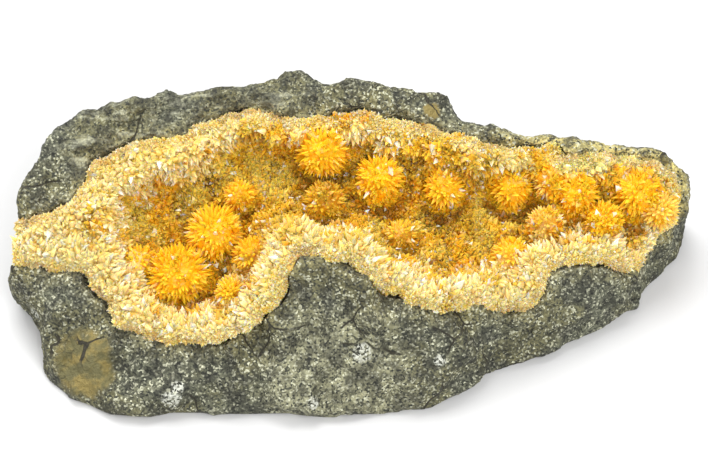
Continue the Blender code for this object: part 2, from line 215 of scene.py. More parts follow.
crust = merged_copy("calcite_crust", "crust_ground")
finish_with(crust, "REMESH", mode="VOXEL", voxel_size=CRUST_VOXEL_MM * MM)
finish_with(crust, "SMOOTH", factor=0.5, iterations=12)
roughen(crust, "VORONOI", 4.2, -1.7, middle=0.42)
roughen(crust, "CLOUDS", 1.6, 0.9, noise_depth=2)
print("crust faces:", len(crust.data.polygons))

# %% [markdown]
# ## Where the crystals stand
#
# Crystals grow only on the open side of the crust: a point that sees no sky is at its back,
# against the rock. How far a point is from bare rock tells the pale rim of the crust from
# its golden depths, and the share of open sky above a point tells how deep it lies, and so
# how much painted shade its colour gets. All of this is measured once, on the crust's own
# vertices. The vug leans back by 40 degrees, so its own frame does too, and rock counts as
# bare where no crust lies over it in that frame.

# %% Distance from bare rock
VUG_LEAN_DEG = 40.0
VUG_ORIGIN = Vector((0.13, -0.68, 20.0))
BARE_ROCK_MM = 1.2

lean_back = Matrix.Rotation(math.radians(VUG_LEAN_DEG), 4, "X")
to_frame = Matrix.Translation(VUG_ORIGIN * MM) @ lean_back
out_of_vug = np.array(to_frame.to_3x3() @ Vector((0.0, 0.0, 1.0)))


def in_vug(points):
    """Points in the vug's own frame, in millimetres."""
    from_frame = to_frame.inverted()
    return (points @ np.array(from_frame.to_3x3()).T + np.array(from_frame.translation)) / MM


def tree_of(points):
    """A search tree over an array of points."""
    tree = KDTree(len(points))
    for index, point in enumerate(points):
        tree.insert(point, index)
    tree.balance()
    return tree


def nearest(tree, points):
    """The tree's nearest point to each point, and how far it is in millimetres."""
    found = [tree.find(point) for point in points]
    places = np.array([place for place, _, _ in found])
    return places, np.array([away for _, _, away in found]) / MM


def surface_of(*objects):
    """A surface for casting rays at, made of these objects together."""
    points, faces = [], []
    for obj in objects:
        start = len(points)
        points += [vert.co.copy() for vert in obj.data.vertices]
        faces += [[start + i for i in face.vertices] for face in obj.data.polygons]
    return BVHTree.FromPolygons(points, faces)


def is_free(ray_surface, starts, direction):
    """True for each start from which a ray in this direction meets nothing."""
    return np.array([ray_surface.ray_cast(start, direction)[0] is None for start in starts])


def unit(vectors):
    """Vectors made one unit long."""
    return vectors / np.maximum(np.linalg.norm(vectors, axis=1, keepdims=True), 1e-9)


ground_points = vertex_points(crust)
ground_normals = vertex_normals(crust)
rock_points = vertex_points(rock)
_, from_crust = nearest(tree_of(ground_points), rock_points)
bare = is_free(surface_of(crust), rock_points, Vector(out_of_vug)) & (from_crust > BARE_ROCK_MM)
edge_points, rim_distance = nearest(tree_of(rock_points[bare]), ground_points)
inward = unit(ground_points - edge_points)
print("rim distance:", np.round(np.percentile(rim_distance, [5, 50, 95]), 1), "mm")

# %% Open sky
SKY_RAYS = 20
RAY_START_MM = 0.9


def even_directions(count, lowest):
    """Directions spread evenly over a ball, down to the lowest height on it, -1 to 1."""
    steps = np.arange(count) + 0.5
    height = 1 - (1 - lowest) * steps / count
    turn = steps * math.pi * (1 + math.sqrt(5))
    flat = np.sqrt(1 - height**2)
    return np.stack([flat * np.cos(turn), flat * np.sin(turn), height], axis=1)


surface = surface_of(rock, crust)
starts = ground_points + ground_normals * RAY_START_MM * MM
open_sky = np.zeros(len(starts))
for direction in even_directions(SKY_RAYS, 0.0) @ np.array(to_frame.to_3x3()).T:
    open_sky += is_free(surface, starts, Vector(direction)) / SKY_RAYS
print("open sky:", np.round(np.percentile(open_sky, [5, 25, 50, 75, 95]), 2))

# %% [markdown]
# ## One crystal
#
# Calcite often grows as a dogtooth: a six-sided point that is widest some way above its
# foot. A six-sided cone is a good start. One cut across it gives a ring of edges, and
# widening that ring gives the belly. Calcite has a threefold axis, so every other edge is
# pulled in a little. The smallest crystals end in three faces only. Each is modelled once,
# one unit long and one unit wide, and thousands of copies of it become the druse.

# %% Crystal shapes
FOOT_WIDTH = 0.72
THREEFOLD = 0.1
BELLY_BAND = 0.01


def model_crystal(sides, belly):
    """Points, triangles and the side that each triangle is on, from Z = 0 to a tip at Z = 1."""
    bpy.ops.object.select_all(action="DESELECT")
    bpy.ops.mesh.primitive_cone_add(
        vertices=sides, radius1=0.5, radius2=0.0, depth=1.0, location=(0.0, 0.0, 0.5)
    )
    crystal = bpy.context.object
    bpy.ops.object.transform_apply(location=True, rotation=False, scale=False)
    bpy.ops.object.mode_set(mode="EDIT")
    bpy.ops.mesh.select_all(action="SELECT")
    bpy.ops.mesh.bisect(plane_co=(0.0, 0.0, belly), plane_no=(0.0, 0.0, 1.0))
    bpy.ops.object.mode_set(mode="OBJECT")
    points = vertex_points(crystal)
    points[points[:, 2] < belly / 2, :2] *= FOOT_WIDTH
    points[np.abs(points[:, 2] - belly) < BELLY_BAND, :2] /= 1 - belly
    around = np.arctan2(points[:, 0], points[:, 1])
    points[:, :2] *= (1 + THREEFOLD * np.cos(3 * around))[:, None]
    triangles, side_of = [], []
    for side, face in enumerate(crystal.data.polygons):
        corners = face.vertices[:]
        triangles += [(corners[0], corners[i], corners[i + 1]) for i in range(1, len(corners) - 1)]
        side_of += [side] * (len(corners) - 2)
    bpy.data.objects.remove(crystal)
    return points, np.array(triangles), np.array(side_of)


DOGTOOTH = model_crystal(6, belly=0.42)
SPIKE = model_crystal(6, belly=0.5)
GRAIN = model_crystal(3, belly=0.4)
for title, (points, faces, _) in {"dogtooth": DOGTOOTH, "spike": SPIKE, "grain": GRAIN}.items():
    print(title, len(points), "points,", len(faces), "triangles")

# %% [markdown]
# ## Many crystals in one mesh
#
# Each crystal needs a foot, a direction, a length and a width. With these four in arrays,
# every copy's points come from one line of sums, and all copies are one mesh. Some values
# are kept on its points for the material: how near the point is to the crystal's tip, a
# number that differs from crystal to crystal, and what the crust is like at its foot. One
# more differs from side to side, because a clear crystal throws light back through some of
# its sides more than through others.

# %% Grow crystals
def add_values(obj, domain, **values):
    """Keeps one value for each point or face under each name, for the material to read."""
    for name, array in values.items():
        attribute = obj.data.attributes.new(name, "FLOAT", domain)
        attribute.data.foreach_set("value", np.asarray(array, np.float32))


def grow(name, crystal, feet, directions, lengths, widths, **values):
    """One mesh of crystals, from arrays that have a row for each crystal."""
    count = len(feet)
    local, faces, side_of = crystal
    side = unit(np.cross(directions, rng.normal(size=(count, 3))))
    other = np.cross(directions, side)
    points = (
        feet[:, None]
        + local[None, :, 0, None] * (side * widths[:, None])[:, None]
        + local[None, :, 1, None] * (other * widths[:, None])[:, None]
        + local[None, :, 2, None] * (directions * lengths[:, None])[:, None]
    )
    faces = faces[None] + np.arange(count)[:, None, None] * len(local)
    mesh = bpy.data.meshes.new(name)
    mesh.from_pydata(points.reshape(-1, 3).tolist(), [], faces.reshape(-1, 3).tolist())
    obj = bpy.data.objects.new(name, mesh)
    bpy.context.scene.collection.objects.link(obj)
    repeated = {key: np.repeat(value, len(local)) for key, value in values.items()}
    repeated["chance"] = np.repeat(rng.random(count), len(local))
    add_values(obj, "POINT", tip=np.tile(local[:, 2], count), **repeated)
    shine = rng.random((count, side_of.max() + 1))
    add_values(obj, "FACE", shine=shine[:, side_of].reshape(-1))
    print(name, count, "crystals,", len(mesh.polygons), "triangles")
    return obj


# %% [markdown]
# ## Rosettes
#
# A rosette's crystals all start at one point and end on a ball. Directions that are evenly
# spread over the ball, each a little off, give the even burst of spikes, and a belly high
# up lets them close up into a body with only their points free. The places are given in
# the vug's own frame, as the distance along it and up its slope, with the radius to the
# tips. How high each one stands is read from the solid crust, whose own rosettes reach
# just as far. The fourth number says how golden it is, and the last what the rest of its
# colour is like: 0 is amber as on the floor, and 1 is cream as on the rim. Spikes that
# would point far down into the crust are left out.

# %% Rosettes
ROSETTES = [
    (-6.5, 17.0, 6.2, 1.0, 0), (5.0, 11.5, 5.6, 1.0, 0), (18.0, 9.5, 4.8, 0.95, 0),
    (31.5, 10.0, 5.2, 1.0, 0), (40.0, 11.0, 4.8, 0.8, 1), (-28.0, 0.5, 6.6, 1.0, 0),
    (-35.0, -8.0, 7.2, 1.0, 0), (-20.5, -4.0, 4.6, 0.85, 0), (-23.0, 8.0, 3.8, 0.7, 0),
    (-6.0, 7.0, 4.8, 0.45, 0), (31.5, -4.0, 4.6, 0.9, 1), (38.5, 2.0, 4.8, 0.6, 1),
    (45.0, 8.5, 5.2, 1.0, 0), (50.0, 3.0, 4.8, 0.95, 0), (57.5, 8.5, 6.0, 0.95, 0),
    (9.5, 0.0, 4.0, 0.4, 0), (-42.8, -5.3, 4.2, 0.8, 0), (-24.4, -11.3, 3.6, 0.7, 0),
    (61.6, 5.0, 4.6, 0.75, 1),
]
TYPICAL_RADIUS_MM = 5.2
MIDDLE_BELOW_TIP = 0.97
SPIKES_A_ROSETTE = 210
CROWDING = 1.5
SPIKE_SCATTER = 0.09
SPIKE_START = 0.25
SPIKE_REACH = (0.84, 1.0)
SPIKE_WIDTH_MM = (1.05, 1.4)
LOWEST_LIFT = -0.4


def rosette_middle(u, v, radius):
    """A rosette's middle, as far under the solid rosette's highest tip as its radius."""
    near = np.hypot(solid_in_vug[:, 0] - u, solid_in_vug[:, 1] - v) < radius / 2
    top = solid_in_vug[near, 2].max()
    return np.array(to_frame @ (Vector((u, v, top - radius * MIDDLE_BELOW_TIP)) * MM))


def rosette_spikes(middle, radius, golden, cream):
    """Feet, directions, lengths, widths, gold, cream and lift of one rosette's spikes."""
    full_count = int(SPIKES_A_ROSETTE * (radius / TYPICAL_RADIUS_MM) ** CROWDING)
    even = even_directions(full_count, -1.0)
    directions = unit(even + rng.normal(0.0, SPIKE_SCATTER, even.shape))
    lift = directions @ out_of_vug
    directions, lift = directions[lift > LOWEST_LIFT], lift[lift > LOWEST_LIFT]
    count = len(directions)
    start = SPIKE_START * radius * MM
    lengths = radius * MM * rng.uniform(*SPIKE_REACH, count) - start
    widths = rng.uniform(*SPIKE_WIDTH_MM, count) * MM * math.sqrt(radius / TYPICAL_RADIUS_MM)
    feet = middle + directions * start
    return feet, directions, lengths, widths, np.full(count, golden), np.full(count, cream), lift


solid_in_vug = in_vug(vertex_points(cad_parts["calcite_crust"]))
middles = [rosette_middle(*row[:3]) for row in ROSETTES]
arrays = [rosette_spikes(middle, *row[2:]) for middle, row in zip(middles, ROSETTES)]
feet, directions, lengths, widths, golden, cream, lift = map(np.concatenate, zip(*arrays))
plain = np.zeros(len(feet))
rosettes = grow(
    "rosettes", SPIKE, feet, directions, lengths, widths,
    pale=cream, deep=plain, gold=golden, lift=lift, edge=plain, olive=plain,
)

# %% [markdown]
# ## Zones of the crust
#
# A few smooth masks, one number for each vertex of the crust, say what it is like there.
# They wander a little with a noise, so that no zone ends on a line. The pale rim is narrow
# behind the middle of the vug and wide at its left end, and turns olive towards its right
# end. Painted shade darkens the crust where little sky is open, and a painted shadow lies
# on it below each rosette's lower side.

# %% Zones
BEHIND_ALONG_MM = (-30.0, -18.0)
BEHIND_UP_MM = (0.0, 8.0)
LEFT_END_MM = (-48.0, -26.0)
OLIVE_ALONG_MM = (22.0, 34.0)
OLIVE_UP_MM = (3.0, 9.0)
WANDER_MM = (5.0, 2.0)
WANDER_REACH_MM = (6.5, 3.0)
NARROWER_BEHIND_MM = 3.5
WIDER_AT_LEFT_MM = 3.0
PALE_TO_FLOOR_MM = (3.5, 12.5)
BROKEN_EDGE_MM = (1.8, 3.2)
BROKEN_PATCH_MM = 6.0
SHADED_SKY = (0.05, 0.4)
SEEN_SKY = (0.02, 0.1)
GOLD_TO_FLOOR_RADII = (0.85, 1.2)
BURIED_RADII = 0.8
# The painted shadow of each rosette: its size, how far down the slope it lies, how dark.
SHADOW_RADII = (0.85, 1.25)
SHADOW_OFFSET = 0.5
SHADOW_DARKNESS = 0.9


def wander(size_mm, offset):
    """A smooth noise over the crust, about -1 to 1."""
    shift = Vector((offset, 0.0, 0.0))
    places = (Vector(point) / (size_mm * MM) + shift for point in ground_points)
    return np.array([noise.noise(place) for place in places])


ground_along, ground_up, _ = in_vug(ground_points).T
behind = step(ground_up, *BEHIND_UP_MM) * step(ground_along, *BEHIND_ALONG_MM)
left_end = 1 - step(ground_along, *LEFT_END_MM)
wandering = rim_distance + WANDER_REACH_MM[0] * wander(WANDER_MM[0], 0.0)
wandering = wandering + WANDER_REACH_MM[1] * wander(WANDER_MM[1], 7.0)
wandering += NARROWER_BEHIND_MM * behind - WIDER_AT_LEFT_MM * left_end
pale = 1 - step(wandering, *PALE_TO_FLOOR_MM)
edge = 1 - step(rim_distance, *BROKEN_EDGE_MM)
edge = edge * step(wander(BROKEN_PATCH_MM, 3.0), -0.05, 0.3)
olive = step(ground_along, *OLIVE_ALONG_MM) * step(ground_up, *OLIVE_UP_MM)
# Painted shade where little sky is open above the crust.
deep = 1 - step(open_sky, *SHADED_SKY)
visible = step(open_sky, *SEEN_SKY)
golden = np.zeros(len(ground_points))
under_rosette = np.zeros(len(ground_points))
down_slope = -np.array(to_frame.to_3x3() @ Vector((0.0, 1.0, 0.0)))
for middle, (_, _, radius, gold, _) in zip(middles, ROSETTES):
    away = np.linalg.norm(ground_points - middle, axis=1) / (radius * MM)
    golden = np.maximum(golden, gold * (1 - step(away, *GOLD_TO_FLOOR_RADII)))
    under_rosette = np.maximum(under_rosette, away < BURIED_RADII)
    # A painted shadow of each rosette on the crust, a little down the slope from it.
    shadow_middle = middle + down_slope * SHADOW_OFFSET * radius * MM
    from_shadow = np.linalg.norm(ground_points - shadow_middle, axis=1) / (radius * MM)
    deep = np.maximum(deep, SHADOW_DARKNESS * (1 - step(from_shadow, *SHADOW_RADII)))
zones = {"pale": pale, "edge": edge, "olive": olive, "deep": deep, "gold": golden * (1 - pale)}
for title, zone in zones.items():
    print(title, round(float((zone * visible).sum() / visible.sum()), 2))

# %% [markdown]
# ## Rim and druse crystals
#
# Along the rim the crust is broken through: next to the rock its side shows, and only fine
# grains cover it. A few millimetres further in, the longest pale teeth lean into the vug.
# Deeper down the crystals are small, and point every way. One scatter serves all three,
# with lengths from the zones.

# %% Scatter on the crust
RIM_COUNT = 8600
FLOOR_COUNT = 19500
EDGE_COUNT = 9000
CRYSTAL_SINK = 0.25
STRAY_LEAN = 0.5
NEAR_EDGE_MM = (2.5, 5.0)
SHORT_BIAS = 2.2
TALLER_MM = (2.0, 4.5)
LOWER_MM = (6.0, 9.0)
LEAST_LENGTH = 0.5
ADDED_LENGTH = 0.6
LOST_INSIDE = 0.4


def scatter(weights, count):
    """Crystal feet spread over the ground by area: points, normals and a vertex of each."""
    areas = np.array([face.area for face in crust.data.polygons])
    corners = np.array([face.vertices[:4] for face in crust.data.polygons])
    chance = areas * weights[corners].mean(axis=1)
    square = corners[rng.choice(len(corners), count, p=chance / chance.sum())]
    along, up = rng.random((2, count, 1))
    shares = np.concatenate(
        [(1 - along) * (1 - up), along * (1 - up), along * up, (1 - along) * up], axis=1
    )
    points = (ground_points[square] * shares[:, :, None]).sum(axis=1)
    normals = unit((ground_normals[square] * shares[:, :, None]).sum(axis=1))
    return points, normals, square[:, 0]


def druse(name, crystal, weights, count, sizes_mm, slenderness, lean_in=0.0):
    """Crystals on the ground where the weights say, longest a little inside the rim."""
    feet, normals, vertex = scatter(weights * visible * (1 - under_rosette), count)
    lean = rng.normal(0.0, STRAY_LEAN, (count, 3)) + inward[vertex] * lean_in
    directions = unit(normals + lean)
    from_rim = rim_distance[vertex]
    tall = step(from_rim, *TALLER_MM) - LOST_INSIDE * step(from_rim, *LOWER_MM)
    shortest, longest = sizes_mm
    lengths = (shortest + (longest - shortest) * rng.random(count) ** SHORT_BIAS) * MM
    lengths = lengths * (LEAST_LENGTH + ADDED_LENGTH * tall)
    widths = lengths * rng.uniform(*slenderness, count)
    feet = feet - directions * (lengths * CRYSTAL_SINK)[:, None]
    at_feet = {title: zone[vertex] for title, zone in zones.items()}
    at_feet["lift"] = directions @ out_of_vug
    return grow(name, crystal, feet, directions, lengths, widths, **at_feet)


near_edge = 1 - step(rim_distance, *NEAR_EDGE_MM)
rim_crystals = druse("rim_crystals", DOGTOOTH, pale, RIM_COUNT, (1.2, 3.0), (0.42, 0.6), 0.6)
edge_crystals = druse("edge_crystals", GRAIN, near_edge, EDGE_COUNT, (1.1, 1.9), (0.6, 0.9))
floor_crystals = druse("floor_crystals", GRAIN, 1 - pale, FLOOR_COUNT, (1.0, 2.5), (0.5, 0.75))
even_values = {
    key: np.full(len(ground_points), value)
    for key, value in {"tip": 0.0, "chance": 0.4, "shine": 0.4}.items()
}
add_values(crust, "POINT", lift=ground_normals @ out_of_vug, **even_values, **zones)
print("values on the ground:", ", ".join(crust.data.attributes.keys()))

# %% [markdown]
# ## Node helpers
#
# The materials are made of a few kinds of node, joined in the same ways again and again.
# Short functions for them keep each material readable: a noise, a stretched range, a mix of
# two colours, and a round spot with a ragged border at a place on the object.

# %% Node helpers
BENDS_A_CELL = 1.5
BEND_SHARE = 0.25
CRACK_BREAKS = (0.5, 0.58)
SPOT_FADE = 0.4
ABOVE_ALL_MM = 60.0


def new_material(name):
    """A material with its node tree and its shader."""
    material = bpy.data.materials.new(name)
    material.use_nodes = True
    return material, material.node_tree, material.node_tree.nodes["Principled BSDF"]


def add_node(tree, kind, **settings):
    """A node with these settings."""
    node = tree.nodes.new(kind)
    for key, value in settings.items():
        setattr(node, key, value)
    return node


def plug(tree, value, socket):
    """Joins a node's output to a socket, or sets the socket to a number or a colour."""
    if isinstance(value, bpy.types.NodeSocket):
        tree.links.new(value, socket)
    elif isinstance(value, tuple) and len(value) < len(socket.default_value):
        socket.default_value = (*value, 1.0)
    else:
        socket.default_value = value


def noise_at(tree, place, size_mm, detail=3.0, roughness=0.6):
    """A noise whose grains are about this size."""
    node = add_node(tree, "ShaderNodeTexNoise")
    node.inputs["Scale"].default_value = 1 / (size_mm * MM)
    node.inputs["Detail"].default_value = detail
    node.inputs["Roughness"].default_value = roughness
    tree.links.new(place, node.inputs["Vector"])
    return node.outputs["Fac"]


def cells_at(tree, place, size_mm):
    """A value from 0 to 1 that differs from cell to cell, in cells of about this size."""
    node = add_node(tree, "ShaderNodeTexVoronoi")
    node.inputs["Scale"].default_value = 1 / (size_mm * MM)
    tree.links.new(place, node.inputs["Vector"])
    split = add_node(tree, "ShaderNodeSeparateColor")
    tree.links.new(node.outputs["Color"], split.inputs["Color"])
    return split.outputs["Red"]


def mapped(tree, value, low, high, to_low=0.0, to_high=1.0):
    """A value's range stretched to another range, and held inside it."""
    node = add_node(tree, "ShaderNodeMapRange", interpolation_type="SMOOTHSTEP")
    for socket, setting in zip(node.inputs, (value, low, high, to_low, to_high)):
        plug(tree, setting, socket)
    return node.outputs["Result"]


def mixed(tree, share, first, second, how="MIX"):
    """Two colours mixed by a share; each is a colour or another node's output."""
    node = add_node(tree, "ShaderNodeMix", data_type="RGBA", blend_type=how)
    sockets = [socket for socket in node.inputs if socket.enabled]
    for socket, setting in zip(sockets, (share, first, second)):
        plug(tree, setting, socket)
    return next(socket for socket in node.outputs if socket.enabled)


def calculated(tree, operation, *values):
    """Two or three values added, multiplied or otherwise joined."""
    node = add_node(tree, "ShaderNodeMath", operation=operation)
    for socket, value in zip(node.inputs, values):
        plug(tree, value, socket)
    return node.outputs["Value"]


def crack_at(tree, place, size_mm, width):
    """1 along the borders of large cells, bent a little and broken by a noise, else 0."""
    node = add_node(tree, "ShaderNodeTexVoronoi", feature="DISTANCE_TO_EDGE")
    node.inputs["Scale"].default_value = 1 / (size_mm * MM)
    bend = add_node(tree, "ShaderNodeTexNoise")
    bend.inputs["Scale"].default_value = BENDS_A_CELL / (size_mm * MM)
    tree.links.new(place, bend.inputs["Vector"])
    push = add_node(tree, "ShaderNodeVectorMath", operation="SCALE")
    push.inputs["Scale"].default_value = BEND_SHARE * size_mm * MM
    tree.links.new(bend.outputs["Color"], push.inputs[0])
    bent = add_node(tree, "ShaderNodeVectorMath", operation="ADD")
    tree.links.new(place, bent.inputs[0])
    tree.links.new(push.outputs["Vector"], bent.inputs[1])
    tree.links.new(bent.outputs["Vector"], node.inputs["Vector"])
    line = mapped(tree, node.outputs["Distance"], width / 2, width, 1.0, 0.0)
    unbroken = mapped(tree, bend.outputs["Fac"], *CRACK_BREAKS)
    return calculated(tree, "MULTIPLY", line, unbroken)


def own_value(tree, name):
    """A value kept on the mesh."""
    return add_node(tree, "ShaderNodeAttribute", attribute_name=name).outputs["Fac"]


def object_place(tree):
    """Object coordinates, in metres."""
    return add_node(tree, "ShaderNodeTexCoord").outputs["Object"]


def spot(tree, place, u, v, radius_mm, ragged_mm, grain_mm):
    """1 near a place on the surface and 0 outside, with a border as ragged as the noise."""
    distance = add_node(tree, "ShaderNodeVectorMath", operation="DISTANCE")
    tree.links.new(place, distance.inputs[0])
    above = to_frame @ (Vector((u, v, ABOVE_ALL_MM)) * MM)
    distance.inputs[1].default_value = surface.ray_cast(above, Vector(-out_of_vug))[0]
    push = calculated(tree, "MULTIPLY", noise_at(tree, place, grain_mm), 2 * ragged_mm * MM)
    reach = calculated(tree, "SUBTRACT", distance.outputs["Value"], push)
    inner = (radius_mm - 1.2 * ragged_mm) * MM
    return mapped(tree, reach, inner, inner + SPOT_FADE * radius_mm * MM, 1.0, 0.0)


# %% [markdown]
# ## Calcite
#
# The colour of this calcite comes from iron that stains it: cream where the crust is thin
# and open to the air, amber to brown down in the vug, and a clear golden yellow in the
# rosettes. The darkest brown, in the hollows and below the rosettes, is painted shade, and
# the rosettes are painted gold where they face out of the vug and orange on their shaded
# sides. The tips are paler than the feet, because light gets out of them. The crystals
# are cloudy rather than clear, so most of the light that enters spreads inside and only a
# little goes through. That is subsurface with some transmission.

# %% Calcite material
CREAM = (0.92, 0.62, 0.21)
STRAW = (0.90, 0.56, 0.10)
TAN = (0.58, 0.31, 0.09)
CREAM_TIP = (1.0, 0.77, 0.35)
WHITE_TIP_AND_GLINT = (1.0, 0.92, 0.72)
EDGE_BROWN = (0.56, 0.33, 0.17)
AMBER = (1.0, 0.44, 0.010)
HONEY = (0.80, 0.50, 0.08)
RUST = (0.82, 0.24, 0.004)
BROWN_AND_SHADE = (0.20, 0.065, 0.005)
AMBER_TIP = (1.0, 0.62, 0.06)
OLIVE_RIM = (0.72, 0.60, 0.20)
# Rosette colours with painted light: orange on the shaded sides, gold on the lit tops.
SHADED_ORANGE = (0.97, 0.33, 0.002)
LIT_GOLD = (1.0, 0.47, 0.006)
SHADED_ORANGE_TIP = (1.0, 0.50, 0.015)
LIT_GOLD_TIP = (1.0, 0.61, 0.04)
PATCH_MM = 8.0
CLUMP_MM = 2.4
GAP_MM = 5.0
SPECKLE_MM = 1.6
CALCITE_IOR = 1.55
CLEARNESS = 0.12
CLOUDINESS = 0.6
SPREAD_MM = 1.2


def floor_colour(tree, place, patches, clumps, near_tip):
    """Amber and honey in patches, rust and brown between them, painted shade and paler tips."""
    deep = own_value(tree, "deep")
    gaps = noise_at(tree, place, GAP_MM, 3.0)
    colour = mixed(tree, mapped(tree, patches, 0.45, 0.58), AMBER, HONEY)
    colour = mixed(tree, mapped(tree, patches, 0.34, 0.44, 0.7, 0.0), colour, RUST)
    colour = mixed(tree, mapped(tree, clumps, 0.55, 0.95, 0.0, 0.5), colour, BROWN_AND_SHADE)
    colour = mixed(tree, mapped(tree, gaps, 0.52, 0.6, 0.0, 0.85), colour, BROWN_AND_SHADE)
    # Painted shade: dark brown where little sky is open and below each rosette, and no pale tips
    # there.
    colour = mixed(tree, calculated(tree, "MULTIPLY", deep, 0.9), colour, BROWN_AND_SHADE)
    tip = mixed(tree, mapped(tree, own_value(tree, "chance"), 0.75, 1.0), AMBER_TIP, CREAM_TIP)
    lit = calculated(tree, "SUBTRACT", 1.0, deep)
    lit = calculated(tree, "MULTIPLY", lit, near_tip)
    return mixed(tree, calculated(tree, "MULTIPLY", lit, 0.7), colour, tip)


def rim_colour(tree, place, patches, clumps, near_tip):
    """Cream with straw and tan, nearly white tips, and olive towards the right end."""
    speckle = noise_at(tree, place, SPECKLE_MM, 2.0)
    colour = mixed(tree, mapped(tree, clumps, 0.2, 0.9), CREAM, STRAW)
    colour = mixed(tree, mapped(tree, speckle, 0.55, 0.7, 0.0, 0.75), colour, TAN)
    tip = mixed(tree, mapped(tree, own_value(tree, "chance"), 0.6, 1.0), CREAM_TIP, WHITE_TIP_AND_GLINT)
    colour = mixed(tree, near_tip, colour, tip)
    colour = mixed(tree, mapped(tree, patches, 0.5, 0.68, 0.0, 0.5), colour, STRAW)
    olive = calculated(tree, "MULTIPLY", own_value(tree, "olive"), mapped(tree, clumps, 0.1, 0.8))
    colour = mixed(tree, calculated(tree, "MULTIPLY", olive, 0.7), colour, OLIVE_RIM)
    broken = calculated(tree, "MULTIPLY", own_value(tree, "edge"), 0.5)
    return mixed(tree, broken, colour, EDGE_BROWN)


def gold_colour(tree, near_tip):
    """Painted light and shade: lit gold facing out of the vug, shaded orange on the sides, both
    paler at the tips.
    """
    lift = mapped(tree, own_value(tree, "lift"), 0.1, 0.95)
    # Painted light: what faces out of the vug is lit gold, what faces sideways is shaded orange.
    body = mixed(tree, lift, SHADED_ORANGE, LIT_GOLD)
    tip = mixed(tree, lift, SHADED_ORANGE_TIP, LIT_GOLD_TIP)
    return mixed(tree, near_tip, body, tip)


def make_calcite():
    """Cloudy calcite, cream, amber or gold by the values on the mesh."""
    material, tree, shader = new_material("calcite")
    place = object_place(tree)
    chance = own_value(tree, "chance")
    gold = own_value(tree, "gold")
    near_tip = mapped(tree, own_value(tree, "tip"), 0.3, 1.0)
    patches = noise_at(tree, place, PATCH_MM, 2.0)
    clumps = cells_at(tree, place, CLUMP_MM)
    floor = floor_colour(tree, place, patches, clumps, near_tip)
    rim = rim_colour(tree, place, patches, clumps, near_tip)
    bleached = calculated(tree, "MULTIPLY_ADD", chance, 0.7, own_value(tree, "pale"))
    colour = mixed(tree, mapped(tree, bleached, 0.65, 1.05), floor, rim)
    colour = mixed(tree, gold, colour, gold_colour(tree, near_tip))
    # Painted glints: a few crystals turn nearly white all over.
    colour = mixed(tree, mapped(tree, chance, 0.965, 0.975, 0.0, 0.8), colour, WHITE_TIP_AND_GLINT)
    # Painted light thrown back from inside: each side of a crystal a little brighter or darker.
    dullest = mapped(tree, gold, 0.0, 1.0, 0.74, 0.92)
    shine = mapped(tree, own_value(tree, "shine"), 0.0, 1.0, dullest, 1.08)
    colour = mixed(tree, 1.0, colour, shine, "MULTIPLY")
    tree.links.new(colour, shader.inputs["Base Color"])
    roughness = mapped(tree, chance, 0.0, 1.0, 0.42, 0.16)
    tree.links.new(roughness, shader.inputs["Roughness"])
    shader.inputs["IOR"].default_value = CALCITE_IOR
    shader.inputs["Specular IOR Level"].default_value = 0.2
    shader.inputs["Transmission Weight"].default_value = CLEARNESS
    shader.inputs["Subsurface Weight"].default_value = CLOUDINESS
    shader.inputs["Subsurface Radius"].default_value = (1.0, 0.5, 0.1)
    shader.inputs["Subsurface Scale"].default_value = SPREAD_MM * MM
    return material


calcite_pieces = (crust, rim_crystals, edge_crystals, floor_crystals, rosettes)
calcite = make_calcite()
for piece in calcite_pieces:
    piece.data.materials.append(calcite)
print("calcite on", len(calcite_pieces), "pieces")

# %% [markdown]
# ## Grey rock
#
# The rock is a fine mixture of dark, grey and white grains, like salt and pepper. Each cell
# of a small pattern of cells is one grain, and a random value picks its tone. Larger noises
# darken and lighten whole regions and lay an olive film over some. Marks of its own are an
# ochre patch low on the left, a paler zone in the middle of the front, a few white and
# ochre spots, and pale layers in the slab. A ray finds the surface under each mark. Thin
# calcite stains the rock beside the crust, most of all round the vug's right end. Each
# mark is given by its place in the vug's own frame, its radius, how ragged its border is
# and the size of the notches in it, all in millimetres.

# %% Rock material
DARK_GRAIN = (0.022, 0.024, 0.016)
GREY_GRAIN = (0.094, 0.097, 0.064)
WHITE_GRAIN = (0.36, 0.36, 0.26)
OLIVE_FILM = (0.118, 0.106, 0.040)
PALE_FILM = (0.21, 0.205, 0.125)
OCHRE = (0.22, 0.17, 0.05)
CALCITE_STAIN = (0.40, 0.34, 0.12)
DARK_CRACK = (0.03, 0.026, 0.014)
WHITE_MARK = (0.60, 0.61, 0.53)
OCHRE_PATCH = (-53.8, -25.5, 5.8, 2.8, 3.0)
PALE_ZONE = (-3.0, -30.0, 14.0, 7.0, 6.0)
SLAB_LAYERS = (-34.0, 22.0, 22.0, 6.0, 9.0)
OCHRE_SPOT = (15.8, 25.3, 1.6, 0.8, 1.2)
WHITE_SPOTS = [
    (1.6, -22.9, 1.7, 1.1, 0.9), (-35.8, -32.5, 1.8, 1.2, 1.0), (-34.6, -29.8, 1.2, 0.9, 0.9),
    (-64.0, -15.5, 1.5, 1.1, 1.0), (17.0, -24.5, 1.1, 0.8, 0.8), (-8.0, -33.0, 1.2, 0.9, 0.8),
]
LAYER_STRETCH = (0.16, 1.0, 1.0)
GRAIN_MM = 0.38
FINE_MM = 0.8
LAYER_MM = 1.6
MIDDLE_MM = 3.2
PATCH_CRACK_MM = 6.0
BROAD_MM = 13.0
CRACK_MM = 17.0
STAIN_ALONG_MM = (20.0, 35.0)
STAIN_UP_MM = (-4.0, 4.0)
STAIN_MM = (1.0, 5.5)
STAIN_SCATTER_MM = 1.5

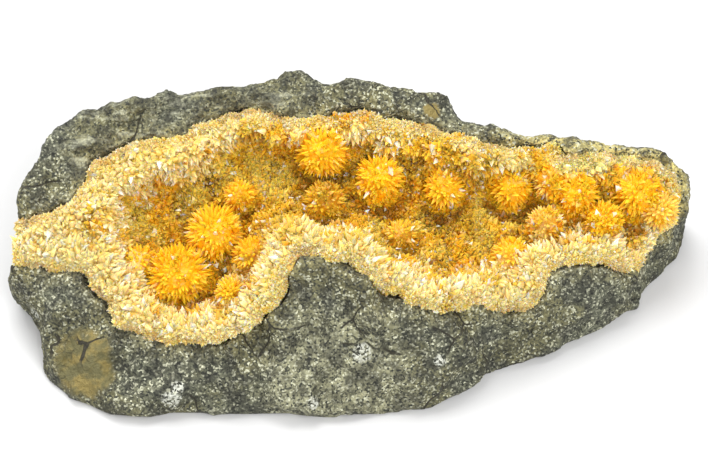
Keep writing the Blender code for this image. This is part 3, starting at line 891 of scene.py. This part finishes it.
rock_along, rock_up, _ = in_vug(rock_points).T
stain = 0.2 + 0.8 * step(rock_along, *STAIN_ALONG_MM) * step(rock_up, *STAIN_UP_MM)
stain *= 1 - step(from_crust + STAIN_SCATTER_MM * rng.random(len(from_crust)), *STAIN_MM)
add_values(rock, "POINT", stain=stain)
print("stained rock:", round(float((stain > 0.3).mean()), 3))


def rock_ground(tree, place, grain):
    """Dark and grey grains, an olive film, the pale zone and the calcite stain."""
    broad = noise_at(tree, place, BROAD_MM, 3.0)
    colour = mixed(tree, mapped(tree, broad, 0.42, 0.6, 0.0, 0.6), GREY_GRAIN, OLIVE_FILM)
    pale_zone = calculated(tree, "MULTIPLY", spot(tree, place, *PALE_ZONE), 0.8)
    colour = mixed(tree, pale_zone, colour, PALE_FILM)
    colour = mixed(tree, mapped(tree, grain, 0.0, 0.55), DARK_GRAIN, colour)
    stain = calculated(tree, "MULTIPLY", own_value(tree, "stain"), mapped(tree, grain, 0.0, 0.4))
    return mixed(tree, stain, colour, CALCITE_STAIN)


def slab_layers(tree, place, grain, colour):
    """White grains over the colour, fewer of them in the slab and pale layers instead."""
    slab = spot(tree, place, *SLAB_LAYERS)
    fewer = mapped(tree, slab, 0.0, 1.0, 1.0, 0.4)
    white = calculated(tree, "MULTIPLY", fewer, mapped(tree, grain, 0.74, 0.98))
    colour = mixed(tree, white, colour, WHITE_GRAIN)
    along = add_node(tree, "ShaderNodeVectorMath", operation="MULTIPLY")
    tree.links.new(place, along.inputs[0])
    along.inputs[1].default_value = LAYER_STRETCH
    layers = noise_at(tree, along.outputs["Vector"], LAYER_MM, 4.0)
    layers = calculated(tree, "MULTIPLY", mapped(tree, layers, 0.5, 0.64, 0.0, 0.42), slab)
    return mixed(tree, layers, colour, WHITE_GRAIN)


def rock_marks(tree, place, grain, middle, colour):
    """The ochre patch with its cracks, the ochre spot and the white spots over the colour."""
    patch_colour = mixed(tree, mapped(tree, middle, 0.4, 0.6), OLIVE_FILM, OCHRE)
    patch_cracks = crack_at(tree, place, PATCH_CRACK_MM, 0.03)
    patch_cracks = mapped(tree, patch_cracks, 0.0, 1.0, 0.0, 0.4)
    patch_colour = mixed(tree, patch_cracks, patch_colour, DARK_CRACK)
    colour = mixed(tree, spot(tree, place, *OCHRE_PATCH), colour, patch_colour)
    colour = mixed(tree, spot(tree, place, *OCHRE_SPOT), colour, OCHRE)
    for white_spot in WHITE_SPOTS:
        share = spot(tree, place, *white_spot)
        share = calculated(tree, "MULTIPLY", share, mapped(tree, grain, 0.2, 0.8, 0.0, 0.9))
        colour = mixed(tree, share, colour, WHITE_MARK)
    return colour


def make_rock():
    """Salt-and-pepper rock with its marks and a few long cracks."""
    material, tree, shader = new_material("salt_and_pepper_rock")
    place = object_place(tree)
    grain = cells_at(tree, place, GRAIN_MM)
    fine = noise_at(tree, place, FINE_MM, 3.0, 0.7)
    middle = noise_at(tree, place, MIDDLE_MM, 3.0)
    colour = slab_layers(tree, place, grain, rock_ground(tree, place, grain))
    tone = mapped(tree, middle, 0.36, 0.64, 0.5, 1.5)
    tone = calculated(tree, "MULTIPLY", tone, mapped(tree, fine, 0.3, 0.7, 0.75, 1.25))
    colour = mixed(tree, 1.0, colour, tone, "MULTIPLY")
    colour = rock_marks(tree, place, grain, middle, colour)
    cracks = crack_at(tree, place, CRACK_MM, 0.012)
    colour = mixed(tree, cracks, colour, DARK_CRACK)
    tree.links.new(colour, shader.inputs["Base Color"])
    shader.inputs["Roughness"].default_value = 0.75
    height = calculated(tree, "SUBTRACT", fine, cracks)
    bump = add_node(tree, "ShaderNodeBump")
    bump.inputs["Strength"].default_value = 0.9
    bump.inputs["Distance"].default_value = 0.8 * MM
    tree.links.new(height, bump.inputs["Height"])
    tree.links.new(bump.outputs["Normal"], shader.inputs["Normal"])
    return material


rock.data.materials.append(make_rock())
print("white spots on the rock:", len(WHITE_SPOTS))

# %% [markdown]
# ## Floor and light
#
# The specimen lies on a pale surface in soft light from all around, a little stronger
# from above and behind, so the only shadow is a soft one under its front edge. A large
# light beside the camera looks down into the vug. The lights are bright enough to make a
# light grey surface look white, which keeps the shadow on it visible.

# %% Floor and light
FLOOR_SIDE_M = 3.0
FLOOR_GREY = (0.58, 0.58, 0.58, 1.0)
WORLD_WHITE = (1.0, 1.0, 1.0, 1.0)
WORLD_STRENGTH = 0.62
LIGHTS = {
    "top_light": ((-0.1, 0.28, 0.62), 0.45, 4.5),
    "left_light": ((-0.55, 0.0, 0.45), 0.3, 1.6),
    "front_light": ((0.22, -0.45, 0.52), 0.4, 4.4),
}


def make_floor():
    """A large pale sheet just under the specimen."""
    bpy.ops.object.select_all(action="DESELECT")
    bpy.ops.mesh.primitive_plane_add(size=FLOOR_SIDE_M, location=(0.0, 0.0, 0.0))
    floor = bpy.context.object
    floor.name = "floor"
    material, _, shader = new_material("pale_sheet")
    shader.inputs["Base Color"].default_value = FLOOR_GREY
    shader.inputs["Roughness"].default_value = 0.9
    floor.data.materials.append(material)


def add_light(name, place, side_m, watts):
    """A square soft box at this place in metres, turned to the specimen."""
    data = bpy.data.lights.new(name, "AREA")
    data.size = side_m
    data.energy = watts
    light = bpy.data.objects.new(name, data)
    bpy.context.scene.collection.objects.link(light)
    light.location = place
    light.rotation_euler = (AIM - Vector(place)).to_track_quat("-Z", "Y").to_euler()


def make_world():
    """White light from all around."""
    world = bpy.data.worlds.new("studio")
    world.use_nodes = True
    background = world.node_tree.nodes["Background"]
    background.inputs["Color"].default_value = WORLD_WHITE
    background.inputs["Strength"].default_value = WORLD_STRENGTH
    bpy.context.scene.world = world


make_floor()
for light_name, (place, side_m, watts) in LIGHTS.items():
    add_light(light_name, place, side_m, watts)
make_world()
bpy.context.scene.view_settings.view_transform = "Standard"
print("lights:", ", ".join(LIGHTS))

# %% [markdown]
# ## The pieces under one empty
#
# Each piece is hung under the empty body:root, and the solids that the pieces replace are hidden.

# %% Finish
for piece in calcite_pieces:
    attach(piece, "root")
    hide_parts("calcite_crust")
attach(rock, "root")
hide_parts("matrix_rock")
